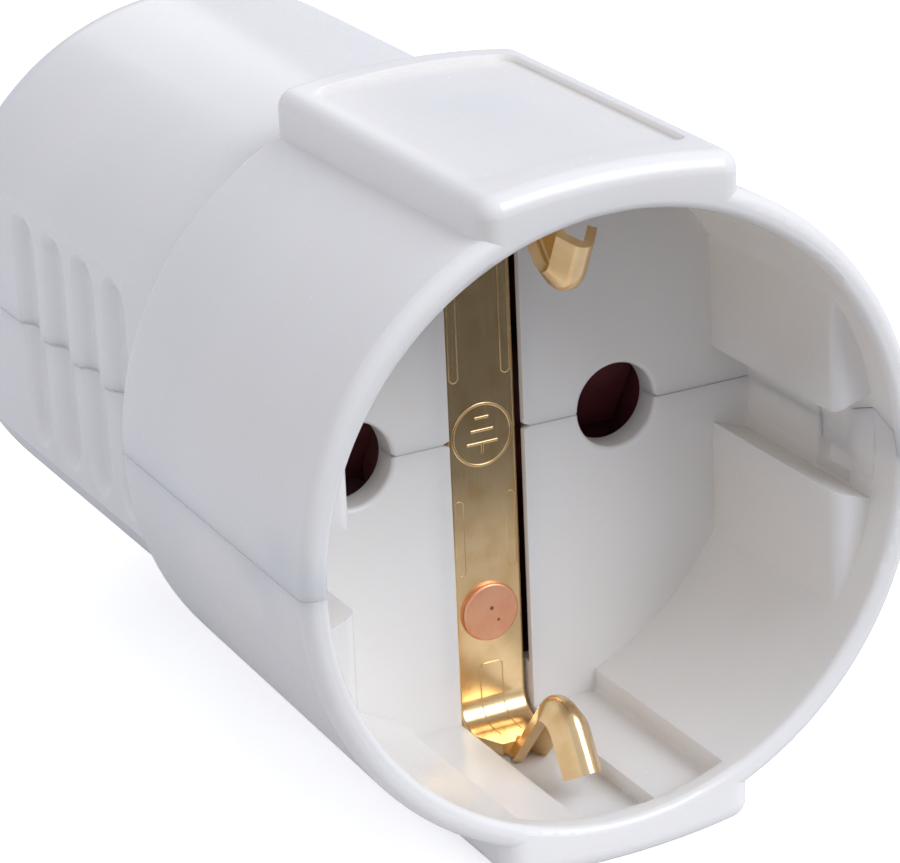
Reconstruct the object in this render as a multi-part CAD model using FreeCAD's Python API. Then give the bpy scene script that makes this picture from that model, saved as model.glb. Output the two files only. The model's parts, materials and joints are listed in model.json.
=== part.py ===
import FreeCAD, Part
import math
import os

# In-line socket for a two-pin earthed plug, in millimetres.
# X is to the right, Y runs from the mouth to the cord, Z is up.
# The origin is the centre of the mouth. The two shells part at z = 0.

# Plug recess
recess_radius = 19.5
recess_depth = 17.5
pin_spacing = 19.0
pin_length = 19.0
pin_hole_radius = 2.83
pin_hole_round = 0.35
mouth_round = 0.5
flat_inset = 2.9
flat_start = 2.7
flat_round = 0.8
key_width = 5.3
key_back_width = 7.2
key_depth = 2.75

# Outside of the cup
rim_wall = 1.7
rim_round = 0.9
cup_taper = 0.55
cup_wall = 1.75
shoulder_wall = 1.6
shoulder_round = 0.9
floor_thickness = 2.0

# Handle, with ribbed flats at its sides
shoulder_step = 1.25
handle_flat_inset = 2.3
handle_wall = 1.9
shoulder_foot_round = 0.5
end_round = 6.0
end_wall = 3.0
groove_count = 4
groove_first = 7.9
groove_pitch = 5.3
groove_offset = 0.35
groove_half_height = 8.95
groove_depth = 0.75
groove_floor_half_width = 0.75
groove_flank_depth = 0.15
groove_flank_half_width = 1.55
groove_lip_rise = 0.15
groove_lip_half_width = 2.5
groove_round = 1.2

# Cord inlet at the rear
neck_radius = 8.0
neck_tip_radius = 7.2
neck_length = 7.0
neck_round = 1.0
inlet_radius = 5.0

# Parting line between the shells
seam_half_width = 0.04
skin_seam_depth = 0.08
floor_seam_depth = 0.2
hole_notch_half_height = 0.12
hole_notch_reach = 0.4
slot_notch_half_height = 0.22
slot_notch_reach = 0.6

# Snap latch and locating tab where the shells meet at the mouth
latch_front = 5.3
latch_length = 3.7
latch_window_depth = 3.3
latch_reach = 0.7
latch_set_back = 0.25
latch_hook_drop = 1.6
latch_play = 0.1
tab_start = 0.35
tab_foot_height = 0.3
tab_nose = 0.6
tab_peak_height = 2.5
tab_shoulder_height = 1.6
tab_thickness = 0.8
tab_play = 0.06

# Raised pads above and below the cup
pad_half_width = 8.7
pad_wall = 1.5
pad_crown = 50.0
pad_round = 1.2
pad_corner = 1.4
label_half_width = 7.2
label_front_edge = 3.5
label_back_edge = 2.5
label_depth = 0.45
label_corner = 1.2

# Earth strip, with its slot and channels
strip_half_width = 2.48
strip_thickness = 0.8
strip_edge_round = 0.25
strip_set_back = 0.7
strip_overreach = 0.5
strip_bend = 1.6
slot_clear = 0.2
slot_lip = 0.5
slot_undercut = 0.8
channel_clear = 0.1
channel_start = 1.8
ledge_half_width = 7.3
ledge_overreach = 0.15
ledge_start = 1.4
ledge_round = 0.4
tongue_thickness = 0.6
tongue_depth = 1.4
tongue_crest_round = 0.8
tongue_flank_angle = 35.0
tongue_foot = 3.9
lower_apex_depth = 8.4
lower_apex_inset = 6.55
lower_tip_depth = 5.0
lower_tip_inset = 1.0
upper_apex_depth = 6.4
upper_apex_inset = 8.65
upper_tip_depth = 3.6
upper_tip_inset = 3.0
tongue_bend = 2.6
tongue_foot_bend = 1.5

# Rivet and bracket of the earth path
rivet_inset = 7.1
rivet_head_radius = 2.0
rivet_shank_radius = 1.3
rivet_tail_radius = 2.2
rivet_tail_height = 0.9
rivet_proud = 0.35
rivet_edge_round = 0.2
bracket_half_width = 3.5
bracket_rise = 3.4
bracket_drop = 2.9

# Shutter and its spring
shutter_half_height = 3.6
shutter_cover = 0.27
shutter_depth = 4.9
shutter_clear = 0.3
shutter_web = 1.8
shutter_ramp_foot = 1.0
shutter_land = 0.6
shutter_ramp_inset = 3.3
shutter_open_margin = 0.3
spring_radius = 1.9
spring_wire = 0.3
spring_wire_sides = 12
spring_turns = 6
spring_solid = 2.5
spring_peg_radius = 1.3
spring_peg_height = 1.0
spring_seat_half_width = 2.2
spring_seat_height = 2.1
spring_end_gap = 0.05

# Contact carrier
carrier_play = 0.1
carrier_rim = 1.4
carrier_plate = 1.8
guide_wall = 1.3
guide_top = 10.5
guide_bottom = 8.0
pillar_half_width = 2.5
barrel_wall = 1.25
barrel_setback = 2.0

# Pin contacts
contact_gap = 0.2
contact_bore_radius = 2.45
contact_wall = 0.7
contact_slit = 1.2
pin_spare = 1.5
tail_half_width = 2.2
tail_spare = 0.5
clip_thickness = 0.45
clip_play = 0.15
clip_start = 1.5
clip_length = 6.0
clip_open_angle = 60.0

# Terminals
terminal_gap = 1.0
terminal_half_width = 3.4
terminal_length = 7.0
terminal_base = 1.25
terminal_hole_half_width = 2.3
terminal_hole_height = 4.4
terminal_top = 2.35
terminal_screw_radius = 1.75
terminal_head_radius = 2.75
terminal_head_height = 2.0
terminal_screw_lift = 1.2
terminal_wire_gap = 1.5
screw_slot_width = 0.9
screw_slot_depth = 1.0

# Ribs of the lower shell beside and under the terminals
partition_half_place = 4.75
partition_thickness = 1.0
partition_top = 1.5
nest_half_width = 2.0
nest_length = 3.0

# Housing screws and their bosses
boss_radius = 3.75
boss_gap = 1.25
boss_merge = 0.3
housing_screw_radius = 1.75
housing_screw_clear = 0.15
housing_screw_reach = 9.0
housing_hole_spare = 0.5
housing_seat = 9.5
housing_head_radius = 2.8
housing_head_height = 2.2
housing_head_clear = 0.4

# Cord clamp
post_radius = 3.2
post_place = 8.5
clamp_half_length = 11.5
clamp_half_width = 2.7
clamp_wing = 3.0
clamp_crown = 6.2
clamp_crown_half_width = 4.2
clamp_crown_foot = 5.6
clamp_groove_radius = 3.6
clamp_screw_radius = 1.5
clamp_screw_reach = 7.0
clamp_hole_spare = 0.5
clamp_head_radius = 2.5
clamp_head_height = 2.0
saddle_half_thickness = 1.5
rear_room = 3.0

# Worked out from the values above
pin_x = pin_spacing / 2
mouth_radius = recess_radius + rim_wall
shoulder_radius = mouth_radius - cup_taper
cup_bore = shoulder_radius - cup_wall
flat_half_gap = recess_radius - flat_inset
key_wall = flat_half_gap + key_depth
latch_back = latch_front + latch_length
handle_radius = shoulder_radius - shoulder_step
handle_flat = handle_radius - handle_flat_inset
handle_bore = handle_radius - handle_wall
handle_bore_flat = handle_flat - handle_wall
strip_front = recess_depth + strip_set_back
strip_back = strip_front + strip_thickness
strip_reach = recess_radius + strip_overreach
rivet_place = recess_radius - rivet_inset
slot_half_width = strip_half_width + slot_clear
strip_underside = strip_reach + strip_thickness
channel_reach = strip_underside + channel_clear
tongue_ridge = tongue_crest_round * (1 / math.sin(math.radians(tongue_flank_angle)) - 1)
tongue_half_width = (tongue_ridge + tongue_depth) * math.tan(math.radians(tongue_flank_angle))
pad_top = channel_reach + pad_wall
floor_back = recess_depth + floor_thickness
carrier_front = floor_back + carrier_play
carrier_radius = cup_bore - carrier_play
shutter_front = floor_back + shutter_clear
shutter_back = shutter_front + shutter_depth
shutter_half_width = pin_x + pin_hole_radius + shutter_cover
shutter_travel = pin_hole_radius + shutter_half_height + shutter_open_margin
spring_y = (shutter_front + shutter_back) / 2
spring_top = shutter_half_height + shutter_travel + spring_solid
plate_front = shutter_back + shutter_clear
plate_back = plate_front + carrier_plate
cup_length = plate_back + shoulder_wall
contact_front = plate_back + contact_gap
contact_back = recess_depth + pin_length + pin_spare
contact_radius = contact_bore_radius + contact_wall
barrel_bore = contact_radius + clip_thickness + clip_play
barrel_radius = barrel_bore + barrel_wall
barrel_back = contact_back - barrel_setback
terminal_front = contact_back + terminal_gap
terminal_back = terminal_front + terminal_length
terminal_y = (terminal_front + terminal_back) / 2
tail_back = terminal_back + tail_spare
earth_tail_bottom = -(rivet_place - bracket_rise + strip_thickness)
boss_x = handle_bore_flat - boss_radius + boss_merge
boss_y = tail_back + boss_gap + boss_radius
clamp_y = boss_y + boss_radius + post_radius
chamber_back = clamp_y + clamp_half_width + rear_room
body_length = chamber_back + end_wall
inlet_end = body_length + neck_length


def vector(x, y, z):
    return FreeCAD.Vector(x, y, z)


def box(x0, x1, y0, y1, z0, z1):
    return Part.makeBox(x1 - x0, y1 - y0, z1 - z0, vector(x0, y0, z0))


def rod_y(x, z, radius, y0, y1):
    """Cylinder along Y."""
    return Part.makeCylinder(radius, y1 - y0, vector(x, y0, z), vector(0, 1, 0))


def rod_z(x, y, radius, z0, z1):
    """Cylinder along Z."""
    return Part.makeCylinder(radius, z1 - z0, vector(x, y, z0), vector(0, 0, 1))


def both_sides(shape):
    """The shape and its mirror image across the YZ plane."""
    return shape.fuse(shape.mirror(vector(0, 0, 0), vector(1, 0, 0)))


def top_and_bottom(shape):
    """The shape and its mirror image across the parting plane."""
    return shape.fuse(shape.mirror(vector(0, 0, 0), vector(0, 0, 1)))


def rounded_edges(corners, closed):
    """Lines and tangent arcs through corners (a, b, radius), in the XY plane."""
    count = len(corners)
    cuts = []
    for i, (a, b, radius) in enumerate(corners):
        here = vector(a, b, 0)
        is_end = not closed and i in (0, count - 1)
        if radius == 0 or is_end:
            cuts.append((here, None, here))
            continue
        before = vector(*corners[i - 1][:2], 0) - here
        after = vector(*corners[(i + 1) % count][:2], 0) - here
        before.normalize()
        after.normalize()
        half = before.getAngle(after) / 2
        run = radius / math.tan(half)
        bisector = before + after
        bisector.normalize()
        middle = here + bisector * (radius / math.sin(half) - radius)
        cuts.append((here + before * run, middle, here + after * run))
    edges = []
    for i, (start, middle, end) in enumerate(cuts):
        if middle is not None:
            edges.append(Part.Arc(start, middle, end).toShape())
        if i < count - 1 or closed:
            following = cuts[(i + 1) % count][0]
            if end.distanceToPoint(following) > 1e-6:
                edges.append(Part.LineSegment(end, following).toShape())
    return edges


def rounded_face(corners):
    return Part.Face(Part.Wire(rounded_edges(corners, True)))


def prism_z(corners, z0, z1):
    """Prism along Z over an outline in the XY plane."""
    face = rounded_face(corners)
    face.translate(vector(0, 0, z0))
    return face.extrude(vector(0, 0, z1 - z0))


def prism_y(corners, y0, y1):
    """Prism along Y over an outline of (x, z)."""
    face = rounded_face(corners)
    face.rotate(vector(0, 0, 0), vector(1, 0, 0), 90)
    face.translate(vector(0, y0, 0))
    return face.extrude(vector(0, y1 - y0, 0))


def prism_x(corners, x0, x1):
    """Prism along X over an outline of (y, z)."""
    face = rounded_face(corners)
    face.rotate(vector(0, 0, 0), vector(1, 1, 1), 120)
    face.translate(vector(x0, 0, 0))
    return face.extrude(vector(x1 - x0, 0, 0))


def turned(corners, x=0, z=0):
    """Solid of revolution about a line along Y, from an outline of (radius, y)."""
    solid = rounded_face(corners).revolve(vector(0, 0, 0), vector(0, 1, 0), 360)
    solid.translate(vector(x, 0, z))
    return solid


def hole_with_round(radius, edge_round, y0, y1, x=0):
    """Cutter for a round hole along Y whose edge at y0 is rounded over."""
    flare = radius + edge_round
    diagonal = edge_round * math.sqrt(0.5)
    edges = [
        Part.LineSegment(vector(0, y0 - edge_round, 0), vector(flare, y0 - edge_round, 0)).toShape(),
        Part.LineSegment(vector(flare, y0 - edge_round, 0), vector(flare, y0, 0)).toShape(),
        Part.Arc(
            vector(flare, y0, 0),
            vector(flare - diagonal, y0 + edge_round - diagonal, 0),
            vector(radius, y0 + edge_round, 0),
        ).toShape(),
        Part.LineSegment(vector(radius, y0 + edge_round, 0), vector(radius, y1, 0)).toShape(),
        Part.LineSegment(vector(radius, y1, 0), vector(0, y1, 0)).toShape(),
        Part.LineSegment(vector(0, y1, 0), vector(0, y0 - edge_round, 0)).toShape(),
    ]
    solid = Part.Face(Part.Wire(edges)).revolve(vector(0, 0, 0), vector(0, 1, 0), 360)
    solid.translate(vector(x, 0, 0))
    return solid


def swept(section, path):
    """Solid swept along a path in the YZ plane, with the section's width kept along X."""
    pipe = Part.BRepOffsetAPI.MakePipeShell(path)
    pipe.setBiNormalMode(vector(1, 0, 0))
    pipe.add(section)
    pipe.build()
    pipe.makeSolid()
    return pipe.shape()


def slotted(screw, x, y, top, radius):
    """Cut a driver slot across the top of a screw head."""
    slot = box(
        x - screw_slot_width / 2,
        x + screw_slot_width / 2,
        y - radius,
        y + radius,
        top - screw_slot_depth,
        top,
    )
    return screw.cut(slot)


def pad():
    """Upper pad: a crowned block with rounded edges and a shallow bare label field."""
    crown_centre = pad_top - pad_crown
    block = prism_z(
        [
            (-pad_half_width, 0, pad_corner),
            (pad_half_width, 0, pad_corner),
            (pad_half_width, cup_length, pad_corner),
            (-pad_half_width, cup_length, pad_corner),
        ],
        recess_radius - rim_wall,
        pad_top + pad_wall,
    )
    crown = rod_y(0, crown_centre, pad_crown, -pad_wall, cup_length + pad_wall)
    block = block.common(crown)
    top_face = max(block.Faces, key=lambda face: face.CenterOfMass.z)
    block = block.makeFillet(pad_round, top_face.Edges)
    field = prism_z(
        [
            (-label_half_width, label_front_edge, label_corner),
            (label_half_width, label_front_edge, label_corner),
            (label_half_width, cup_length - label_back_edge, label_corner),
            (-label_half_width, cup_length - label_back_edge, label_corner),
        ],
        recess_radius,
        pad_top + pad_wall,
    )
    bed = rod_y(0, crown_centre, pad_crown - label_depth, -pad_wall, cup_length + pad_wall)
    return block.cut(field.cut(bed))


def finger_grooves(offset):
    """Upright troughs with soft edges and round ends on both flats, moved along the handle."""
    outer = handle_flat + groove_depth
    side = [
        (outer, groove_lip_half_width, 0),
        (handle_flat + groove_lip_rise, groove_lip_half_width, 0),
        (handle_flat - groove_flank_depth, groove_flank_half_width, groove_round),
        (handle_flat - groove_depth, groove_floor_half_width, groove_round),
    ]
    other_side = [(x, -y, radius) for x, y, radius in reversed(side)]
    half_straight = groove_half_height - groove_lip_half_width
    trough = prism_z(side + other_side, -half_straight, half_straight)
    outline = [(outer, 0, 0)] + side + [(handle_flat - groove_depth, 0, 0)]
    dish = rounded_face(outline).revolve(vector(0, 0, 0), vector(1, 0, 0), 360)
    for z in (-half_straight, half_straight):
        trough = trough.fuse(dish.translated(vector(0, 0, z)))
    start = cup_length + groove_first + offset
    grooves = [trough.translated(vector(0, start + i * groove_pitch, 0)) for i in range(groove_count)]
    return both_sides(grooves[0].fuse(grooves[1:]))


def body_outside():
    """The white body as one solid, before it is hollowed."""
    body = turned(
        [
            (0, 0, 0),
            (mouth_radius, 0, rim_round),
            (shoulder_radius, cup_length, shoulder_round),
            (handle_radius, cup_length, shoulder_foot_round),
            (handle_radius, body_length, end_round),
            (neck_radius, body_length, neck_round),
            (neck_tip_radius, inlet_end, neck_round),
            (0, inlet_end, 0),
        ]
    )
    side = box(handle_flat, mouth_radius, cup_length, inlet_end, -mouth_radius, mouth_radius)
    body = body.cut(both_sides(side))
    return body.fuse(top_and_bottom(pad()))


def floor_notch(edge, half_height, reach):
    """V-shaped nick where the parting line meets an edge of a hole in the floor."""
    corners = [(edge, -half_height, 0), (edge + reach, 0, 0), (edge, half_height, 0)]
    return both_sides(prism_y(corners, recess_depth, floor_back))


def recess_void():
    """Space for the plug: a round well with side flats, key grooves and earth channels."""
    void = hole_with_round(recess_radius, mouth_round, 0, recess_depth)
    flat = prism_z(
        [
            (flat_half_gap, flat_start, flat_round),
            (mouth_radius, flat_start, 0),
            (mouth_radius, recess_depth, 0),
            (flat_half_gap, recess_depth, 0),
        ],
        -recess_radius,
        recess_radius,
    )
    key = prism_y(
        [
            (0, -key_width / 2, 0),
            (flat_half_gap, -key_width / 2, 0),
            (key_wall, -key_back_width / 2, 0),
            (key_wall, key_back_width / 2, 0),
            (flat_half_gap, key_width / 2, 0),
            (0, key_width / 2, 0),
        ],
        flat_start,
        recess_depth,
    )
    void = void.cut(both_sides(flat.cut(key)))
    ledge = prism_y(
        [
            (-ledge_half_width, 0, 0),
            (ledge_half_width, 0, 0),
            (ledge_half_width, recess_radius + ledge_overreach, ledge_round),
            (-ledge_half_width, recess_radius + ledge_overreach, ledge_round),
        ],
        ledge_start,
        recess_depth,
    )
    channel = box(-slot_half_width, slot_half_width, channel_start, floor_back, 0, channel_reach)
    behind_lip = box(
        -slot_half_width - slot_undercut,
        slot_half_width + slot_undercut,
        recess_depth + slot_lip,
        floor_back,
        0,
        flat_half_gap,
    )
    sunk = [top_and_bottom(shape) for shape in (ledge, channel, behind_lip)]
    notches = [
        floor_notch(slot_half_width, slot_notch_half_height, slot_notch_reach),
        floor_notch(pin_x - pin_hole_radius, hole_notch_half_height, -hole_notch_reach),
        floor_notch(pin_x + pin_hole_radius, hole_notch_half_height, hole_notch_reach),
    ]
    void = void.fuse(sunk + notches)
    for x in (-pin_x, pin_x):
        void = void.fuse(hole_with_round(pin_hole_radius, pin_hole_round, recess_depth, floor_back, x))
    return void


def chamber_void():
    """Space behind the floor for the contacts and the cord, with the cord inlet."""
    handle_space = rod_y(0, 0, handle_bore, plate_back, chamber_back)
    width = box(-handle_bore_flat, handle_bore_flat, plate_back, chamber_back, -handle_bore, handle_bore)
    carrier_space = rod_y(0, 0, cup_bore, floor_back, plate_back)
    inlet = rod_y(0, 0, inlet_radius, chamber_back, inlet_end)
    return handle_space.common(width).fuse([carrier_space, inlet])


def inner_supports():
    """Screw bosses in both shells, and the lower shell's posts, saddle, partitions and nests."""
    low = -handle_radius
    bosses = [rod_z(side * boss_x, boss_y, boss_radius, low, handle_radius) for side in (-1, 1)]
    posts = [rod_z(side * post_place, clamp_y, post_radius, low, 0) for side in (-1, 1)]
    saddle = box(
        -post_place,
        post_place,
        clamp_y - saddle_half_thickness,
        clamp_y + saddle_half_thickness,
        low,
        -clamp_groove_radius / 2,
    )
    saddle = saddle.cut(rod_y(0, 0, clamp_groove_radius, clamp_y - post_radius, clamp_y + post_radius))
    partition = box(
        partition_half_place - partition_thickness / 2,
        partition_half_place + partition_thickness / 2,
        terminal_front,
        terminal_back,
        low,
        -partition_top,
    )
    nests = []
    for x, tail_bottom in ((-pin_x, -contact_radius), (0, earth_tail_bottom), (pin_x, -contact_radius)):
        nest = box(
            x - nest_half_width,
            x + nest_half_width,
            terminal_y - nest_length / 2,
            terminal_y + nest_length / 2,
            low,
            tail_bottom - terminal_base,
        )
        nests.append(nest)
    return saddle.fuse(bosses + posts + nests + [both_sides(partition)])


def screw_holes():
    """Holes for the housing screws and the cord clamp's screws."""
    holes = []
    for side in (-1, 1):
        x = side * boss_x
        clear_radius = housing_screw_radius + housing_screw_clear
        head_radius = housing_head_radius + housing_head_clear
        holes.append(rod_z(x, boss_y, head_radius, -handle_radius, -housing_seat))
        holes.append(rod_z(x, boss_y, clear_radius, -housing_seat, 0))
        holes.append(rod_z(x, boss_y, housing_screw_radius, 0, housing_screw_reach + housing_hole_spare))
        bottom = -clamp_screw_reach - clamp_hole_spare
        holes.append(rod_z(side * post_place, clamp_y, clamp_screw_radius, bottom, 0))
    return holes[0].fuse(holes[1:])


def parting_groove(outside):
    """Fine groove where the shells meet, along the outside, the rim and the recess's floor."""
    outline = Part.Face(outside.slice(vector(0, 0, 1), 0)[0])
    edge_strip = outline.makeOffset2D(skin_seam_depth).cut(outline.makeOffset2D(-skin_seam_depth))
    edge_strip.translate(vector(0, 0, -seam_half_width))
    outer = edge_strip.extrude(vector(0, 0, 2 * seam_half_width))
    back = recess_depth + floor_seam_depth
    floor = box(-key_wall, key_wall, recess_depth, back, -seam_half_width, seam_half_width)
    return outer.fuse(floor)


def locating_tab(play):
    """Blank for the lower shell's tab beside the mouth, grown by the play."""
    corners = [
        (tab_start - play, 0, 0),
        (tab_start - play, tab_foot_height, 0),
        (tab_nose - play, tab_shoulder_height + play, 0),
        (flat_start, tab_peak_height + play, 0),
        (latch_front + play, tab_shoulder_height + play, 0),
        (latch_front + play, 0, 0),
    ]
    return both_sides(prism_x(corners, flat_half_gap, recess_radius + tab_thickness + play))


def latch_window():
    """Pocket in both side walls for the latch: shallow above the parting plane, deeper below it."""
    entry = key_wall - latch_set_back
    face = key_wall + latch_set_back
    above = box(entry, face, latch_front, latch_back, 0, latch_window_depth)
    below = box(entry, face + latch_reach, latch_front, latch_back, -latch_window_depth, 0)
    return both_sides(above.fuse(below))


def latch_hook():
    """The upper shell's hooks, which hang down into the lower shell's pockets."""
    face = key_wall + latch_set_back
    hook = box(
        face,
        face + latch_reach - latch_play,
        latch_front + latch_play,
        latch_back - latch_play,
        -latch_hook_drop,
        latch_play,
    )
    return both_sides(hook)


def shells():
    """Upper and lower halves of the white body."""
    outside = body_outside()
    hollow = outside.cut(recess_void().fuse(chamber_void()))
    hollow = hollow.fuse(inner_supports().common(outside))
    hollow = hollow.cut(screw_holes()).removeSplitter()
    size = 2 * inlet_end
    upper_half = box(-size, size, -size, size, 0, size)
    hollow = hollow.cut(parting_groove(outside)).cut(latch_window())
    tabs = hollow.common(locating_tab(0))
    upper = hollow.common(upper_half).cut(locating_tab(tab_play)).fuse(latch_hook())
    lower = hollow.cut(upper_half).fuse(tabs)
    upper = upper.cut(finger_grooves(groove_offset))
    lower = lower.cut(finger_grooves(-groove_offset))
    return upper.removeSplitter(), lower.removeSplitter()


def sheet_outline(corners, thickness):
    """Closed outline of a bent sheet: corners (a, b, radius) along one face, thickness to the right."""
    points = [vector(a, b, 0) for a, b, _ in corners]
    headings = [(end - start).normalize() for start, end in zip(points, points[1:])]
    other = []
    for i, (point, (_, _, radius)) in enumerate(zip(points, corners)):
        before = headings[max(i - 1, 0)]
        after = headings[min(i, len(headings) - 1)]
        right_before = vector(before.y, -before.x, 0)
        right_after = vector(after.y, -after.x, 0)
        mitre = right_before + right_after
        shift = mitre * (thickness / (1 + right_before.dot(right_after)))
        turns_left = before.cross(after).z > 0
        outer_radius = radius + thickness if turns_left else radius - thickness
        is_end = i in (0, len(points) - 1)
        other.append((point.x + shift.x, point.y + shift.y, 0 if is_end else outer_radius))
    return corners + other[::-1]


def tongue(apex_depth, apex_inset, tip_depth, tip_inset):
    """Spring tongue below the axis: a ridged strip that rises towards the axis and turns back."""
    start_y = strip_front - strip_bend
    corners = [
        (start_y, -strip_reach, 0),
        (strip_front - tongue_foot, -strip_reach, tongue_foot_bend),
        (apex_depth, apex_inset - recess_radius, tongue_bend),
        (tip_depth, tip_inset - recess_radius, 0),
    ]
    path = Part.Wire(rounded_edges(corners, False))
    path.rotate(vector(0, 0, 0), vector(1, 1, 1), 120)
    ridge = [
        (-tongue_half_width, -tongue_depth, 0),
        (0, tongue_ridge, tongue_crest_round),
        (tongue_half_width, -tongue_depth, 0),
    ]
    section = Part.Wire(rounded_edges(sheet_outline(ridge, tongue_thickness), True))
    section.rotate(vector(0, 0, 0), vector(1, 0, 0), 90)
    section.translate(vector(0, start_y, -strip_reach))
    below = box(
        -strip_half_width,
        strip_half_width,
        0,
        strip_back,
        -strip_underside - tongue_depth,
        -strip_underside,
    )
    return swept(section, path).cut(below)


def is_front_side(edge):
    """Whether an edge of the half strip runs along one side of its front face."""
    first = edge.Vertexes[0]
    last = edge.Vertexes[-1]
    same_side = first.X * last.X > 0
    in_front = max(first.Y, last.Y) < strip_front + strip_edge_round
    above_foot = min(first.Z, last.Z) > -strip_reach - strip_edge_round
    return same_side and in_front and above_foot


def earth_strip():
    """Brass strip across the floor; each end bends forward, narrows and carries a spring tongue."""
    foot_y = strip_front - tongue_foot
    face_corners = [
        (strip_front, 0, 0),
        (strip_front, -strip_reach, strip_bend),
        (foot_y, -strip_reach, 0),
    ]
    half_strip = prism_x(sheet_outline(face_corners, -strip_thickness), -strip_half_width, strip_half_width)
    half_strip = half_strip.makeFillet(strip_edge_round, [e for e in half_strip.Edges if is_front_side(e)])
    narrowing = prism_z(
        [
            (strip_half_width, strip_front - strip_bend, 0),
            (2 * strip_half_width, strip_front - strip_bend, 0),
            (2 * strip_half_width, foot_y - strip_thickness, 0),
            (tongue_half_width, foot_y - strip_thickness, 0),
            (tongue_half_width, foot_y, 0),
        ],
        -channel_reach,
        -strip_reach + strip_thickness,
    )
    half_strip = half_strip.cut(both_sides(narrowing))
    lower = tongue(lower_apex_depth, lower_apex_inset, lower_tip_depth, lower_tip_inset)
    upper = tongue(upper_apex_depth, upper_apex_inset, upper_tip_depth, upper_tip_inset)
    upper = upper.mirror(vector(0, 0, 0), vector(0, 0, 1))
    strip = top_and_bottom(half_strip).fuse([lower, upper]).removeSplitter()
    countersink = Part.makeCone(
        rivet_head_radius,
        rivet_shank_radius,
        strip_thickness,
        vector(0, strip_front, -rivet_place),
        vector(0, 1, 0),
    )
    return strip.cut(countersink)


def earth_rivet():
    """Copper rivet with a low round-edged head in front, upset behind the bracket."""
    bracket_back = plate_back + strip_thickness
    rivet = turned(
        [
            (0, strip_front - rivet_proud, 0),
            (rivet_head_radius, strip_front - rivet_proud, rivet_edge_round),
            (rivet_head_radius, strip_front, 0),
            (rivet_shank_radius, strip_back, 0),
            (rivet_shank_radius, bracket_back, 0),
            (rivet_tail_radius, bracket_back, 0),
            (rivet_tail_radius, bracket_back + rivet_tail_height, rivet_tail_height / 2),
            (0, bracket_back + rivet_tail_height, 0),
        ],
        z=-rivet_place,
    )
    return rivet


def earth_bracket():
    """Brass angle from the rivet to the earth terminal."""
    tail_top = earth_tail_bottom + strip_thickness
    tab = prism_x(
        [
            (plate_back, -rivet_place - bracket_drop, 0),
            (plate_back + strip_thickness, -rivet_place - bracket_drop, 0),
            (plate_back + strip_thickness, tail_top, 0),
            (plate_back, tail_top, strip_thickness),
        ],
        -bracket_half_width,
        bracket_half_width,
    )
    tail = box(
        -tail_half_width,
        tail_half_width,
        plate_back + strip_thickness / 2,
        tail_back,
        earth_tail_bottom,
        tail_top,
    )
    shank = rod_y(0, -rivet_place, rivet_shank_radius, plate_back, plate_back + strip_thickness)
    return tab.fuse(tail).removeSplitter().cut(shank)


def contact_carrier():
    """Brown insert: a shallow cup for the shutter, with barrels for the contacts behind it."""
    rim_inner = carrier_radius - carrier_rim
    carrier = rod_y(0, 0, carrier_radius, carrier_front, plate_back)
    carrier = carrier.cut(rod_y(0, 0, rim_inner, carrier_front, plate_front))
    guide_x = shutter_half_width + shutter_clear
    guide = box(guide_x, guide_x + guide_wall, carrier_front, plate_front, -guide_bottom, guide_top)
    pillar_end = carrier_radius - carrier_rim / 2
    guide = guide.common(rod_y(0, 0, pillar_end, carrier_front, plate_front))
    pillars = [
        box(-pillar_half_width, pillar_half_width, strip_back, plate_front, spring_top, pillar_end),
        box(
            -pillar_half_width,
            pillar_half_width,
            strip_back,
            plate_front,
            -pillar_end,
            -shutter_half_height - shutter_clear,
        ),
    ]
    peg = rod_z(0, spring_y, spring_peg_radius, spring_top - spring_peg_height, spring_top)
    barrels = [rod_y(x, 0, barrel_radius, plate_back, barrel_back) for x in (-pin_x, pin_x)]
    carrier = carrier.fuse(pillars + barrels + [peg, both_sides(guide)])
    for x in (-pin_x, pin_x):
        carrier = carrier.cut(rod_y(x, 0, barrel_bore, plate_back, barrel_back))
        carrier = carrier.cut(rod_y(x, 0, pin_hole_radius, plate_front, plate_back))
    shank = rod_y(0, -rivet_place, rivet_shank_radius, strip_back, plate_back)
    return carrier.cut(shank).removeSplitter()


def shutter():
    """Brown slide that closes both pin holes; the pins press its ramps and push it up."""
    web_front = shutter_back - shutter_web
    web = box(
        -shutter_half_width,
        shutter_half_width,
        web_front,
        shutter_back,
        -shutter_half_height,
        shutter_half_height,
    )
    ramp_outline = [
        (shutter_front, shutter_half_height, 0),
        (shutter_front, shutter_half_height - shutter_land, 0),
        (shutter_back - shutter_ramp_foot, -shutter_half_height, 0),
        (shutter_back, -shutter_half_height, 0),
        (shutter_back, shutter_half_height, 0),
    ]
    ramp = prism_x(ramp_outline, pin_x - shutter_ramp_inset, shutter_half_width)
    ramp_cut = prism_x(
        [
            (shutter_front - shutter_clear, shutter_half_height, 0),
            (shutter_front, shutter_half_height - shutter_land, 0),
            (shutter_back - shutter_ramp_foot, -shutter_half_height, 0),
            (shutter_front - shutter_clear, -shutter_half_height, 0),
        ],
        pin_x - shutter_ramp_inset,
        shutter_half_width,
    )
    seat = box(
        -spring_seat_half_width,
        spring_seat_half_width,
        spring_y - spring_seat_half_width,
        shutter_back,
        shutter_half_height - spring_seat_height,
        shutter_half_height,
    )
    peg_top = shutter_half_height + spring_peg_height
    peg = rod_z(0, spring_y, spring_peg_radius, shutter_half_height, peg_top)
    body = web.cut(both_sides(ramp_cut))
    return body.fuse([both_sides(ramp), seat, peg]).removeSplitter()


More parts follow.
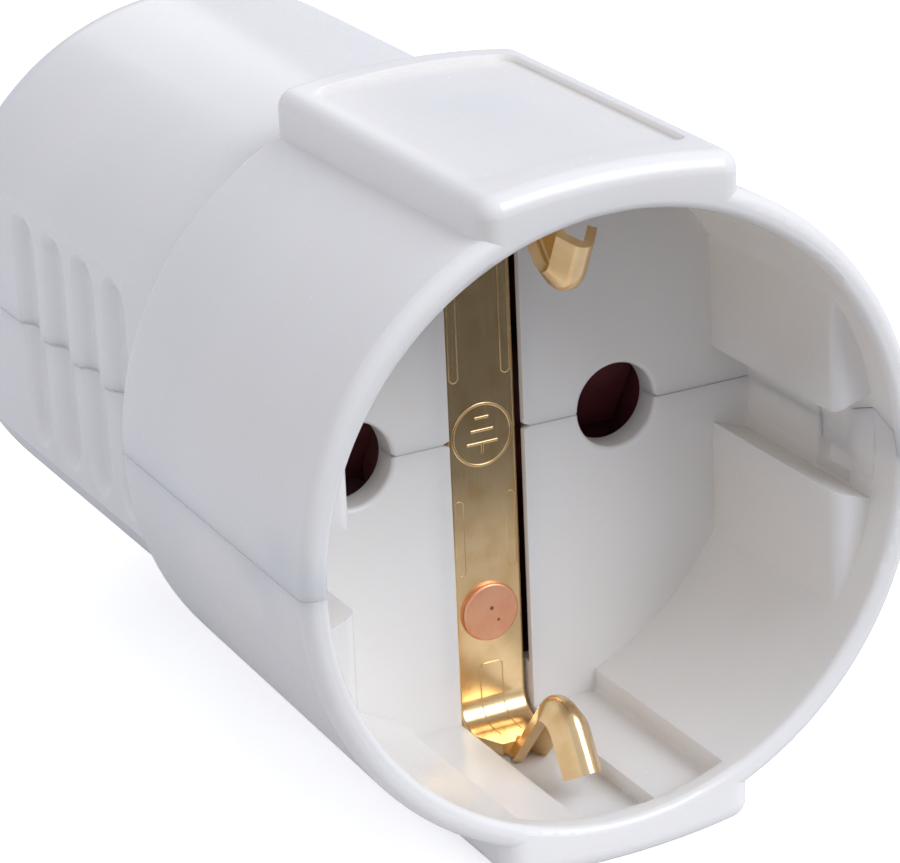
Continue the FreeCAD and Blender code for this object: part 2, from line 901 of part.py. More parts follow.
def shutter_spring():
    """Coil spring between the shutter and the carrier's upper pillar."""
    wire_radius = spring_wire / 2
    bottom = shutter_half_height + spring_end_gap + wire_radius
    height = spring_top - spring_end_gap - wire_radius - bottom
    helix = Part.makeHelix(height / spring_turns, height, spring_radius)
    angles = [2 * math.pi * i / spring_wire_sides for i in range(spring_wire_sides + 1)]
    section = Part.makePolygon(
        [vector(spring_radius + wire_radius * math.cos(a), 0, wire_radius * math.sin(a)) for a in angles]
    )
    pipe = Part.BRepOffsetAPI.MakePipeShell(Part.Wire(helix))
    pipe.setFrenetMode(True)
    pipe.add(section)
    pipe.build()
    pipe.makeSolid()
    spring = pipe.shape()
    spring.translate(vector(0, spring_y, bottom))
    return spring


def contact(x):
    """Split brass sleeve for one pin, with a tail to its terminal."""
    sleeve = rod_y(x, 0, contact_radius, contact_front, contact_back)
    tail_front = contact_back - contact_wall
    tail = box(
        x - tail_half_width,
        x + tail_half_width,
        tail_front,
        tail_back,
        -contact_radius,
        -contact_bore_radius,
    )
    bore = rod_y(x, 0, contact_bore_radius, contact_front, contact_back)
    slit = box(x - contact_slit / 2, x + contact_slit / 2, contact_front, contact_back, 0, contact_radius)
    return sleeve.fuse(tail).removeSplitter().cut(bore).cut(slit)


def contact_clip(x):
    """Open steel ring that presses the sleeve together."""
    start = contact_front + clip_start
    ring = rod_y(x, 0, contact_radius + clip_thickness, start, start + clip_length)
    ring = ring.cut(rod_y(x, 0, contact_radius, start, start + clip_length))
    reach = 2 * barrel_radius
    half = math.radians(clip_open_angle / 2)
    wedge = prism_y(
        [
            (x, 0, 0),
            (x - reach * math.sin(half), -reach * math.cos(half), 0),
            (x + reach * math.sin(half), -reach * math.cos(half), 0),
        ],
        start,
        start + clip_length,
    )
    return ring.cut(wedge)


def terminal_top_z(tail_bottom):
    return tail_bottom + terminal_hole_height + terminal_top


def terminal(x, tail_bottom):
    """Brass block that clamps a tail and a wire under one screw."""
    top = terminal_top_z(tail_bottom)
    ceiling = tail_bottom + terminal_hole_height
    block = box(
        x - terminal_half_width,
        x + terminal_half_width,
        terminal_front,
        terminal_back,
        tail_bottom - terminal_base,
        top,
    )
    hole = box(
        x - terminal_hole_half_width,
        x + terminal_hole_half_width,
        terminal_front,
        terminal_back,
        tail_bottom,
        ceiling,
    )
    thread = rod_z(x, terminal_y, terminal_screw_radius, ceiling, top)
    return block.cut(hole).cut(thread)


def terminal_screw(x, tail_bottom, tail_thickness):
    """Slotted screw of a terminal, backed off so that a wire can go in."""
    tip = tail_bottom + tail_thickness + terminal_wire_gap
    head = terminal_top_z(tail_bottom) + terminal_screw_lift
    top = head + terminal_head_height
    screw = rod_z(x, terminal_y, terminal_screw_radius, tip, head)
    screw = screw.fuse(rod_z(x, terminal_y, terminal_head_radius, head, top))
    return slotted(screw, x, terminal_y, top, terminal_head_radius)


def cord_clamp():
    """Arched bar that holds the cord down on the saddle."""
    bar = prism_y(
        [
            (-clamp_half_length, 0, 0),
            (clamp_half_length, 0, 0),
            (clamp_half_length, clamp_wing, 0),
            (clamp_crown_foot, clamp_wing, 0),
            (clamp_crown_half_width, clamp_crown, 0),
            (-clamp_crown_half_width, clamp_crown, 0),
            (-clamp_crown_foot, clamp_wing, 0),
            (-clamp_half_length, clamp_wing, 0),
        ],
        clamp_y - clamp_half_width,
        clamp_y + clamp_half_width,
    )
    groove = rod_y(0, 0, clamp_groove_radius, clamp_y - clamp_half_width, clamp_y + clamp_half_width)
    holes = [rod_z(side * post_place, clamp_y, clamp_screw_radius, 0, clamp_wing) for side in (-1, 1)]
    return bar.cut(groove).cut(holes[0].fuse(holes[1]))


def cord_clamp_screws():
    screws = []
    for side in (-1, 1):
        x = side * post_place
        top = clamp_wing + clamp_head_height
        screw = rod_z(x, clamp_y, clamp_screw_radius, -clamp_screw_reach, clamp_wing)
        screw = screw.fuse(rod_z(x, clamp_y, clamp_head_radius, clamp_wing, top))
        screws.append(slotted(screw, x, clamp_y, top, clamp_head_radius))
    return Part.makeCompound(screws)


def housing_screws():
    """Screws that pull the shells together, their heads sunk in the lower shell."""
    screws = []
    for side in (-1, 1):
        x = side * boss_x
        bottom = -housing_seat - housing_head_height
        screw = rod_z(x, boss_y, housing_screw_radius, -housing_seat, housing_screw_reach)
        screw = screw.fuse(rod_z(x, boss_y, housing_head_radius, bottom, -housing_seat))
        slot_top = bottom + screw_slot_depth
        screws.append(slotted(screw, x, boss_y, slot_top, housing_head_radius))
    return Part.makeCompound(screws)


upper_shell, lower_shell = shells()
pieces = {
    "upper_shell": upper_shell,
    "lower_shell": lower_shell,
    "earth_strip": earth_strip(),
    "earth_rivet": earth_rivet(),
    "earth_bracket": earth_bracket(),
    "contact_carrier": contact_carrier(),
    "shutter": shutter(),
    "shutter_spring": shutter_spring(),
    "cord_clamp": cord_clamp(),
    "cord_clamp_screws": cord_clamp_screws(),
    "housing_screws": housing_screws(),
    "earth_terminal": terminal(0, earth_tail_bottom),
    "earth_terminal_screw": terminal_screw(0, earth_tail_bottom, strip_thickness),
}
for pole, pole_x in (("line", -pin_x), ("neutral", pin_x)):
    pieces[pole + "_contact"] = contact(pole_x)
    pieces[pole + "_contact_clip"] = contact_clip(pole_x)
    pieces[pole + "_terminal"] = terminal(pole_x, -contact_radius)
    pieces[pole + "_terminal_screw"] = terminal_screw(pole_x, -contact_radius, contact_wall)

os.makedirs("parts", exist_ok=True)
for name, shape in pieces.items():
    shape.exportStep("parts/" + name + ".step")
    state = "valid" if shape.isValid() else "INVALID"
    print(name, len(shape.Solids), "solid(s)", round(shape.Volume, 1), "mm3", state)
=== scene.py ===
# %% [markdown]
# # An in-line power socket
#
# The socket sits on the end of an extension lead. A deep round recess takes a plug's body, two
# shuttered holes take its pins, and a brass strip across the floor of the recess ends in sprung
# tongues that meet the plug's earth contacts. All solids come from the CAD model, in metres,
# with Y running from the mouth to the cord. This lesson gives them their finishes, adds what a
# press stamped into the brass, makes the shutter's spring again as a coil, and sets up the
# light and the camera.

# %% Load the imported model
import json
import math

import bpy
from mathutils import Matrix, Vector


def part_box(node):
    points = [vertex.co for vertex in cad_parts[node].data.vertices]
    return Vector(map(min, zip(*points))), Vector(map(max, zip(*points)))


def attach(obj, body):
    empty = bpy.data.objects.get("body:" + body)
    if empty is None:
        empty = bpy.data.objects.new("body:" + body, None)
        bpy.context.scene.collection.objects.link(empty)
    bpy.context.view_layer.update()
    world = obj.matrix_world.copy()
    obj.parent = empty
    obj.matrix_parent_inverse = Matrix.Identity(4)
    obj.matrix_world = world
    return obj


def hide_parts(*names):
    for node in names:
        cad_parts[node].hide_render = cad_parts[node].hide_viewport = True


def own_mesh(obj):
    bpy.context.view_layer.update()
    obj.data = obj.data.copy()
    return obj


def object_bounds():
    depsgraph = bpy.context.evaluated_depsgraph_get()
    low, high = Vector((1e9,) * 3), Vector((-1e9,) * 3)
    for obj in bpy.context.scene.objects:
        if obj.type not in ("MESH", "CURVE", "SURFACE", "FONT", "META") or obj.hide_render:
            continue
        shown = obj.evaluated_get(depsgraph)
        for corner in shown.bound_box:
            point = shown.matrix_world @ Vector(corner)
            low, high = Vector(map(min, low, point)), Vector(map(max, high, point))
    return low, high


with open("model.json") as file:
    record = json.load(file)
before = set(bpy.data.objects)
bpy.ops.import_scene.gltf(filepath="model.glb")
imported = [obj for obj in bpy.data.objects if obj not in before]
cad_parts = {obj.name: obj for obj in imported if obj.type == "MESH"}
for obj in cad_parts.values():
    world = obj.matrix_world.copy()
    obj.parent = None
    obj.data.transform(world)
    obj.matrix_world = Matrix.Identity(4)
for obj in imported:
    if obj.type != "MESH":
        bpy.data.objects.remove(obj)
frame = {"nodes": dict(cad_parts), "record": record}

cad_low, cad_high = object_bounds()
nodes = frame["nodes"]
MM = 0.001
print("CAD nodes:", len(nodes), "box in mm:", [round(v / MM, 1) for v in cad_high - cad_low])

# %% [markdown]
# ## Helpers for materials
#
# Colours are picked as sRGB hex values, the way a colour card gives them, but shaders work in
# linear light, so one function converts them. A second one adds a node, sets it up and links it,
# which keeps each material readable as a list of steps. Object coordinates are in metres, so the
# scale of a noise texture is worked out from the real size of what it stands for.

# %% Colours and nodes
def linear(hex_colour):
    """Linear RGBA of an sRGB hex colour."""
    channels = [int(hex_colour[i : i + 2], 16) / 255 for i in (1, 3, 5)]
    values = [c / 12.92 if c <= 0.04045 else ((c + 0.055) / 1.055) ** 2.4 for c in channels]
    return (*values, 1.0)


def add(tree, kind, settings=None, **sockets):
    """Add a node with its settings. Sockets get values or links, by name or as i0, i1."""
    node = tree.nodes.new(kind)
    for name, value in (settings or {}).items():
        setattr(node, name, value)
    for name, value in sockets.items():
        is_index = name[0] == "i" and name[1:].isdigit()
        socket = node.inputs[int(name[1:]) if is_index else name.replace("_", " ")]
        if isinstance(value, bpy.types.NodeSocket):
            tree.links.new(value, socket)
        else:
            socket.default_value = value
    return node


print("mid grey in linear light:", round(linear("#808080")[0], 3))

# %% An empty material
COLOUR_MIX = {"data_type": "RGBA"}


def new_material(name):
    """An empty material with its node tree, its shader and its Object coordinates."""
    material = bpy.data.materials.new(name)
    material.use_nodes = True
    tree = material.node_tree
    tree.nodes.clear()
    shader = add(tree, "ShaderNodeBsdfPrincipled")
    add(tree, "ShaderNodeOutputMaterial", Surface=shader.outputs["BSDF"])
    place = add(tree, "ShaderNodeTexCoord").outputs["Object"]
    return material, tree, shader, place


def connect(tree, shader, tint, gloss, bump):
    """Link a colour mix, a range of roughness and a bump to the shader."""
    tree.links.new(tint.outputs[2], shader.inputs["Base Color"])
    tree.links.new(gloss.outputs["Result"], shader.inputs["Roughness"])
    tree.links.new(bump.outputs["Normal"], shader.inputs["Normal"])


def per_metre(size_mm):
    """Noise scale for features of this size."""
    return 1 / (size_mm * MM)


print("noise scale for 1 mm:", per_metre(1))

# %% [markdown]
# ## White moulded plastic
#
# Both shells and the cord clamp are injection-moulded in white thermoplastic. A polished mould
# leaves a soft gloss, slightly uneven: the skin sinks a little over thick walls, and a faint
# satin grain breaks up the highlights. The pigment is a touch warm, which shows where light has
# bounced about inside the recess. Thin white plastic also lets light through. Mixing in a
# translucent shader would be quicker, but subsurface scattering gives the soft edges too: light
# that enters one side of a wall or an edge comes out a few millimetres away.

# %% Material of the shells
def white_plastic():
    cloud_mm, sink_mm = 9, 14
    # The grain is about 0.1 mm on the real part. It is drawn at 0.25 mm so that it shows.
    grain_mm = 0.25
    material, tree, shader, place = new_material("moulded_white_thermoplastic")
    cloud = add(tree, "ShaderNodeTexNoise", Vector=place, Scale=per_metre(cloud_mm), Detail=3.0)
    white = linear("#efebe6")
    whiter = linear("#f3f0ec")
    tint = add(tree, "ShaderNodeMix", COLOUR_MIX, i0=cloud.outputs["Fac"], i6=white, i7=whiter)
    grain = add(tree, "ShaderNodeTexNoise", Vector=place, Scale=per_metre(grain_mm), Detail=2.0)
    gloss = add(tree, "ShaderNodeMapRange", Value=grain.outputs["Fac"], To_Min=0.2, To_Max=0.3)
    sink = add(tree, "ShaderNodeTexNoise", Vector=place, Scale=per_metre(sink_mm), Detail=1.0)
    waves = add(
        tree, "ShaderNodeBump", Height=sink.outputs["Fac"], Distance=0.25 * MM, Strength=0.2
    )
    fine = add(
        tree,
        "ShaderNodeBump",
        Height=grain.outputs["Fac"],
        Distance=0.01 * MM,
        Strength=0.3,
        Normal=waves.outputs["Normal"],
    )
    connect(tree, shader, tint, gloss, fine)
    shader.inputs["IOR"].default_value = 1.53
    # Red light travels furthest in the plastic, so thin edges glow slightly warm.
    shader.inputs["Subsurface Weight"].default_value = 0.4
    shader.inputs["Subsurface Radius"].default_value = (1.0, 0.85, 0.7)
    shader.inputs["Subsurface Scale"].default_value = 2.5 * MM
    return material


white = white_plastic()
print("made", white.name)

# %% [markdown]
# ## Brown plastic
#
# The carrier and the shutter behind the pin holes are moulded in a heat-resistant, red-brown
# plastic. In the depth of the holes it is nearly black, with a satin gloss on the edges. One flat
# colour would look like paint there, so two close browns are mixed by a noise the size of the
# flow marks that the mould leaves.

# %% Material of the carrier and shutter
def brown_plastic():
    flow_mm = 1.5
    # The grain is under a tenth of a millimetre. It is drawn at 0.2 mm so that it shows.
    grain_mm = 0.2
    material, tree, shader, place = new_material("moulded_brown_thermoset")
    flow = add(tree, "ShaderNodeTexNoise", Vector=place, Scale=per_metre(flow_mm), Detail=4.0)
    dark = linear("#5f2c2e")
    light = linear("#7d3d3f")
    tint = add(tree, "ShaderNodeMix", COLOUR_MIX, i0=flow.outputs["Fac"], i6=dark, i7=light)
    grain = add(tree, "ShaderNodeTexNoise", Vector=place, Scale=per_metre(grain_mm), Detail=2.0)
    gloss = add(tree, "ShaderNodeMapRange", Value=grain.outputs["Fac"], To_Min=0.3, To_Max=0.5)
    rough = add(
        tree, "ShaderNodeBump", Height=grain.outputs["Fac"], Distance=0.01 * MM, Strength=0.4
    )
    connect(tree, shader, tint, gloss, rough)
    shader.inputs["IOR"].default_value = 1.55
    return material


brown = brown_plastic()
print("made", brown.name)

# %% [markdown]
# ## Metals
#
# All metals share one recipe: rolled or drawn stock has fine lines along its length and a thin
# uneven tarnish. What differs is the colour, the direction of the lines and how bright the
# surface is. An anisotropic shader would need a direction on every face. Noise that a Mapping
# node squeezes, so that a scratch is longer than it is wide, needs only the stock's direction.
# One function makes them all, which keeps the family alike.

# %% One recipe for the metals
STAIN_MM = 1.8
# The share of the noise where tarnish begins, and where it is full.
TARNISH = (0.45, 0.75)


def metal(name, bright, dull, roughness, line_size_mm, bump_mm):
    """A metal with lines of a given size along X, Y and Z."""
    material, tree, shader, place = new_material(name)
    finer = tuple(per_metre(size) for size in line_size_mm)
    squeeze = add(tree, "ShaderNodeMapping", Vector=place, Scale=finer).outputs["Vector"]
    lines = add(tree, "ShaderNodeTexNoise", Vector=squeeze, Scale=1.0, Detail=3.0).outputs["Fac"]
    stain = add(tree, "ShaderNodeTexNoise", Vector=place, Scale=per_metre(STAIN_MM), Detail=4.0)
    patches = add(
        tree,
        "ShaderNodeMapRange",
        Value=stain.outputs["Fac"],
        From_Min=TARNISH[0],
        From_Max=TARNISH[1],
    )
    clean = linear(bright)
    tarnished = linear(dull)
    tint = add(
        tree, "ShaderNodeMix", COLOUR_MIX, i0=patches.outputs["Result"], i6=clean, i7=tarnished
    )
    low, high = roughness
    gloss = add(tree, "ShaderNodeMapRange", Value=lines, To_Min=low, To_Max=high)
    scratches = add(tree, "ShaderNodeBump", Height=lines, Distance=bump_mm * MM, Strength=0.5)
    connect(tree, shader, tint, gloss, scratches)
    shader.inputs["Metallic"].default_value = 1.0
    print("made", name)
    return material


print("spots of tarnish are about", STAIN_MM, "mm across")

# %% The five metals
# Real rolling and drawing lines are a few hundredths of a millimetre wide. They are drawn at a
# tenth or more so that they show.
# Rolled sheet: pale brass that mirrors the recess softly, with lines along the strip.
brass_strip = metal(
    "rolled_brass_strip", "#f3d4a2", "#e5c08a", (0.2, 0.28), (0.12, 0.12, 3.0), 0.0025
)
# Turned and bent brass inside the body: a little duller, with lines from front to back.
brass_turned = metal(
    "machined_brass", "#ecd0a0", "#d8b681", (0.22, 0.36), (0.1, 1.5, 0.1), 0.006
)
# Copper that a press has flattened: matt and pink, with an even grain.
copper = metal("upset_copper", "#fcc09c", "#f6aa84", (0.4, 0.5), (0.25, 0.25, 0.25), 0.012)
# Zinc plating on screws: a grey, slightly blue satin.
zinc = metal("zinc_plated_steel", "#c9ccd1", "#a4a7ad", (0.25, 0.4), (0.15, 0.15, 0.15), 0.008)
# Spring steel of the coil and the contact clips: darker, with a smooth skin.
spring_wire = metal(
    "drawn_spring_steel", "#9a9ca1", "#77797e", (0.25, 0.35), (0.1, 0.1, 0.1), 0.004
)

# %% [markdown]
# ## Painted shade of the pits in the rivet
#
# The tool that set the copper rivet left two small pits in its head. They are about a quarter of
# a millimetre across, so they are not modelled as holes: the shade inside each pit is painted as
# a dark spot of colour, and the distance from each pit, measured on the rivet's face, decides
# where this painted shade comes in.

# %% Painted shade of two pits in the copper
# The place of each pit in x and z, and its radius, in mm.
RIVET_PITS = ((0.03, -12.1, 0.13), (0.5, -13.0, 0.1))
# The painted shade of a pit is full up to the first share of its radius, and ends at the second.
PIT_EDGE = (0.6, 1.4)
# How dark the painted shade in each pit is, as the share of the dark colour in the mix.
PIT_SHADE_STRENGTH = 0.85
copper_tree = copper.node_tree
copper_shader = copper_tree.nodes["Principled BSDF"]
copper_place = copper_tree.nodes["Texture Coordinate"].outputs["Object"]
tint = copper_shader.inputs["Base Color"].links[0].from_socket
flat = add(
    copper_tree, "ShaderNodeVectorMath", {"operation": "MULTIPLY"}, i0=copper_place, i1=(1, 0, 1)
)
for x, z, pit_radius in RIVET_PITS:
    away = add(
        copper_tree,
        "ShaderNodeVectorMath",
        {"operation": "DISTANCE"},
        i0=flat.outputs["Vector"],
        i1=(x * MM, 0, z * MM),
    )
    pit_shade_mask = add(
        copper_tree,
        "ShaderNodeMapRange",
        Value=away.outputs["Value"],
        From_Min=PIT_EDGE[0] * pit_radius * MM,
        From_Max=PIT_EDGE[1] * pit_radius * MM,
        To_Min=PIT_SHADE_STRENGTH,
        To_Max=0.0,
    )
    # Painted shade: this dark colour stands in for the shade inside a pit.
    painted_pit_shade = linear("#6a2f22")
    mix = add(
        copper_tree, "ShaderNodeMix", COLOUR_MIX, i0=pit_shade_mask.outputs["Result"], i6=tint, i7=painted_pit_shade
    )
    tint = mix.outputs[2]
copper_tree.links.new(tint, copper_shader.inputs["Base Color"])
print("pits:", len(RIVET_PITS))

# %% [markdown]
# ## Put the finishes on
#
# The CAD record names a material slot for each piece, so a loop can do what would take a row of
# clicks. The finish goes onto the node's own slot, and the solid keeps its shape. The strip gets
# sheet brass of its own, since it is the one piece of brass that shows.

# %% Give each CAD node its material
finish_of = {
    "white_plastic": white,
    "brown_plastic": brown,
    "brass": brass_turned,
    "copper": copper,
    "zinc_steel": zinc,
    "spring_steel": spring_wire,
}
for row in frame["record"]["subparts"]:
    mesh = nodes[row["node"]].data
    finish = brass_strip if row["node"] == "earth_strip" else finish_of[row["material_slot"]]
    mesh.materials.clear()
    mesh.materials.append(finish)

# %% [markdown]
# ## Raised lines and wires
#
# A press stamps thin raised lines into the strip, and the spring is a bent wire. Both are a path
# with a round section, which Geometry Nodes sweep well: a tree takes named sizes, draws its
# paths, and ends by making them solid and painting them. A line on the strip is half sunk into
# the face. Each result is kept as a plain mesh, because the export drops instances.

# %% Helpers for trees of lines
LINE_SIDES = 8


def new_tree(name, sizes):
    """A geometry tree with one float input for each named size."""
    tree = bpy.data.node_groups.new(name, "GeometryNodeTree")
    tree.interface.new_socket("Geometry", in_out="INPUT", socket_type="NodeSocketGeometry")
    tree.interface.new_socket("Geometry", in_out="OUTPUT", socket_type="NodeSocketGeometry")
    for size in sizes:
        tree.interface.new_socket(size, in_out="INPUT", socket_type="NodeSocketFloat")
    return tree, add(tree, "NodeGroupInput").outputs


def finish_tree(tree, lines, line_radius, material, sides=LINE_SIDES):
    """Give curves a round section with closed ends and a material."""
    section = add(tree, "GeometryNodeCurvePrimitiveCircle", Resolution=sides, Radius=line_radius)
    tube = add(
        tree,
        "GeometryNodeCurveToMesh",
        Curve=lines,
        Profile_Curve=section.outputs["Curve"],
        Fill_Caps=True,
    )
    real = add(tree, "GeometryNodeRealizeInstances", Geometry=tube.outputs["Mesh"])
    painted = add(
        tree, "GeometryNodeSetMaterial", Geometry=real.outputs["Geometry"], Material=material
    )
    add(tree, "NodeGroupOutput", Geometry=painted.outputs["Geometry"])
    print("tree", tree.name, "nodes:", len(tree.nodes))


print("sides of a raised line:", LINE_SIDES)

# %% Helpers that turn a tree into a piece
# The strip's front face lies at this y, in mm.
STRIP_FACE = 18.2


def make_piece(name, tree, sizes_mm, start=None, place=Matrix()):
    """Run a tree, keep the result as a plain mesh in its place, and ride it on the socket."""
    piece = bpy.data.objects.new(name, start or bpy.data.meshes.new(name + "_start"))
    bpy.context.scene.collection.objects.link(piece)
    modifier = piece.modifiers.new("lines", "NODES")
    modifier.node_group = tree
    for item in tree.interface.items_tree:
        if item.name in sizes_mm:
            modifier[item.identifier] = sizes_mm[item.name] * MM
    bpy.context.view_layer.update()
    evaluated = piece.evaluated_get(bpy.context.evaluated_depsgraph_get())
    result = bpy.data.meshes.new_from_object(evaluated)
    piece.modifiers.remove(modifier)
    result.transform(place)
    result.name = name
    piece.data = result
    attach(piece, "socket")
    print(name, "faces:", len(result.polygons))
    return piece


def on_face(z_mm, flatten=0.45):
    """Matrix that turns a drawing in the XY plane onto the strip's face, flattened."""
    upright = Matrix.Rotation(math.radians(90), 4, "X")
    thin = Matrix.Diagonal((1, flatten, 1, 1))
    return Matrix.Translation((0, STRIP_FACE * MM, z_mm * MM)) @ thin @ upright


print("strip face at y =", STRIP_FACE, "mm")

# %% [markdown]
# ## The earth sign
#
# In the middle of the strip is the usual sign for protective earth: a short stem on three bars,
# in a ring. The bars could be drawn one by one, but each is shorter than the one before by the
# same step, so they are instances of one unit line, whose length follows from the number of its
# rung.

# %% The bars of the sign
BAR_COUNT = 3
sign_tree, size = new_tree(
    "earth_sign", ["Ring Radius", "Line Radius", "Longest Bar", "Bar Step", "Bar Pitch", "Stem"]
)
unit_bar = add(sign_tree, "GeometryNodeCurvePrimitiveLine", Start=(-0.5, 0, 0), End=(0.5, 0, 0))
rise = add(sign_tree, "ShaderNodeCombineXYZ", Y=size["Bar Pitch"])
rungs = add(sign_tree, "GeometryNodeMeshLine", Count=BAR_COUNT, Offset=rise.outputs["Vector"])
rung = add(sign_tree, "GeometryNodeInputIndex").outputs["Index"]
shorter = add(
    sign_tree, "ShaderNodeMath", {"operation": "MULTIPLY"}, i0=rung, i1=size["Bar Step"]
)
length = add(
    sign_tree,
    "ShaderNodeMath",
    {"operation": "SUBTRACT"},
    i0=size["Longest Bar"],
    i1=shorter.outputs["Value"],
)
stretch = add(sign_tree, "ShaderNodeCombineXYZ", X=length.outputs["Value"], Y=1.0, Z=1.0)
instances = add(
    sign_tree,
    "GeometryNodeInstanceOnPoints",
    Points=rungs.outputs["Mesh"],
    Instance=unit_bar.outputs["Curve"],
    Scale=stretch.outputs["Vector"],
)
bars = add(sign_tree, "GeometryNodeRealizeInstances", Geometry=instances.outputs["Instances"])
print("bars of the sign:", BAR_COUNT)

# %% Stem, ring and the whole sign
RING_POINTS = 96
# The sign's middle lies this share of the pitch above its lowest bar.
MIDDLE = 0.65
down = add(sign_tree, "ShaderNodeMath", {"operation": "MULTIPLY"}, i0=size["Stem"], i1=-1.0)
stem_end = add(sign_tree, "ShaderNodeCombineXYZ", Y=down.outputs["Value"])
stem = add(sign_tree, "GeometryNodeCurvePrimitiveLine", End=stem_end.outputs["Vector"])
drop = add(
    sign_tree, "ShaderNodeMath", {"operation": "MULTIPLY"}, i0=size["Bar Pitch"], i1=-MIDDLE
)
centred = add(sign_tree, "ShaderNodeCombineXYZ", Y=drop.outputs["Value"])
sign = add(sign_tree, "GeometryNodeJoinGeometry")
for part in (bars.outputs["Geometry"], stem.outputs["Curve"]):
    sign_tree.links.new(part, sign.inputs["Geometry"])
moved = add(
    sign_tree,
    "GeometryNodeTransform",
    Geometry=sign.outputs["Geometry"],
    Translation=centred.outputs["Vector"],
)
ring = add(
    sign_tree,
    "GeometryNodeCurvePrimitiveCircle",
    Resolution=RING_POINTS,
    Radius=size["Ring Radius"],
)
whole = add(sign_tree, "GeometryNodeJoinGeometry")
for part in (ring.outputs["Curve"], moved.outputs["Geometry"]):
    sign_tree.links.new(part, whole.inputs["Geometry"])
finish_tree(sign_tree, whole.outputs["Geometry"], size["Line Radius"], brass_strip)

# %% The sign on the strip
SIGN_HEIGHT = -0.15
sign_sizes = {
    "Ring Radius": 2.08,
    "Line Radius": 0.115,
    "Longest Bar": 2.2,
    "Bar Step": 0.6,
    "Bar Pitch": 0.86,
    "Stem": 0.72,
}
make_piece("earth_sign", sign_tree, sign_sizes, place=on_face(SIGN_HEIGHT))

# %% [markdown]
# ## Bands along the edges
#
# Above and below the sign, two narrow bands with a fine raised outline run along the strip's
# edges. Four outlines could be modelled by hand. Here one rounded rectangle is set on two points,
# a column apart, and the same tree serves both pairs with another length.

# %% A tree for a pair of bands
band_tree, size = new_tree(
    "bare_bands", ["Band Length", "Band Width", "Column Spacing", "Corner", "Line Radius"]
)
outline = add(
    band_tree,
    "GeometryNodeCurvePrimitiveQuadrilateral",
    Width=size["Band Width"],
    Height=size["Band Length"],
)
soft = add(
    band_tree, "GeometryNodeFilletCurve", Curve=outline.outputs["Curve"], Radius=size["Corner"]
)
apart = add(band_tree, "ShaderNodeCombineXYZ", X=size["Column Spacing"]).outputs["Vector"]
half_back = add(band_tree, "ShaderNodeVectorMath", {"operation": "SCALE"}, i0=apart, Scale=-0.5)
columns = add(
    band_tree,
    "GeometryNodeMeshLine",
    Count=2,
    Start_Location=half_back.outputs["Vector"],
    Offset=apart,
)
instances = add(
    band_tree,
    "GeometryNodeInstanceOnPoints",
    Points=columns.outputs["Mesh"],
    Instance=soft.outputs["Curve"],
)
pair = add(band_tree, "GeometryNodeRealizeInstances", Geometry=instances.outputs["Instances"])
finish_tree(band_tree, pair.outputs["Geometry"], size["Line Radius"], brass_strip)

# %% Two pairs of bands
# Each pair's lower and upper end on the strip, in mm.
BAND_ENDS = {"upper_bands": (3.7, 13.2), "lower_bands": (-9.6, -4.4)}
band_sizes = {"Band Width": 0.62, "Column Spacing": 3.7, "Corner": 0.2, "Line Radius": 0.045}
for name, (low, high) in BAND_ENDS.items():
    sizes = {**band_sizes, "Band Length": high - low}
    make_piece(name, band_tree, sizes, place=on_face((low + high) / 2))

# %% [markdown]
# ## The line at the lower bend
#
# Where the strip bends forward into the lower tongue, the forming tool leaves a line like a
# narrow U. It starts on the foot of the strip, runs round the bend, crosses over and comes back.
# A drawn route of straight legs is enough: Fillet Curve rounds it, with the sheet's own radius
# in the bend and a small one where the line crosses over.

# %% A tree that follows the bend
BEND_STEPS = 16
bend_tree, size = new_tree("bend_line", ["Bend Radius", "Corner", "Line Radius", "Crossing"])
route = add(bend_tree, "GeometryNodeMeshToCurve", Mesh=size["Geometry"])
point = add(bend_tree, "GeometryNodeInputPosition")
height = add(bend_tree, "ShaderNodeSeparateXYZ", Vector=point.outputs["Position"])
on_top = add(
    bend_tree,
    "ShaderNodeMath",
    {"operation": "GREATER_THAN"},
    i0=height.outputs["Z"],
    i1=size["Crossing"],
)
radius = add(
    bend_tree,
    "ShaderNodeMix",
    i0=on_top.outputs["Value"],
    i2=size["Bend Radius"],
    i3=size["Corner"],
)
bent = add(
    bend_tree,
    "GeometryNodeFilletCurve",
    {"mode": "POLY"},
    Curve=route.outputs["Curve"],
    Count=BEND_STEPS,
    Radius=radius.outputs[0],
)
finish_tree(bend_tree, bent.outputs["Curve"], size["Line Radius"], brass_strip)

# %% The route of the U
# Places in mm. The corners above the crossing height get the small radius.
U_HALF_WIDTH = 0.8
U_TOP = -16.05
U_CROSSING = U_TOP - 0.5
U_FOOT = -20.0
U_START = 15.6
half_u = [(U_START, U_FOOT), (STRIP_FACE, U_FOOT), (STRIP_FACE, U_TOP)]
corners = [(-U_HALF_WIDTH, y, z) for y, z in half_u]
corners += [(U_HALF_WIDTH, y, z) for y, z in reversed(half_u)]
legs = [(i, i + 1) for i in range(len(corners) - 1)]
u_route = bpy.data.meshes.new("bend_route")
u_route.from_pydata([Vector(corner) * MM for corner in corners], legs, [])
u_sizes = {"Bend Radius": 1.6, "Corner": 0.3, "Line Radius": 0.05, "Crossing": U_CROSSING}
make_piece("bend_line", bend_tree, u_sizes, start=u_route)
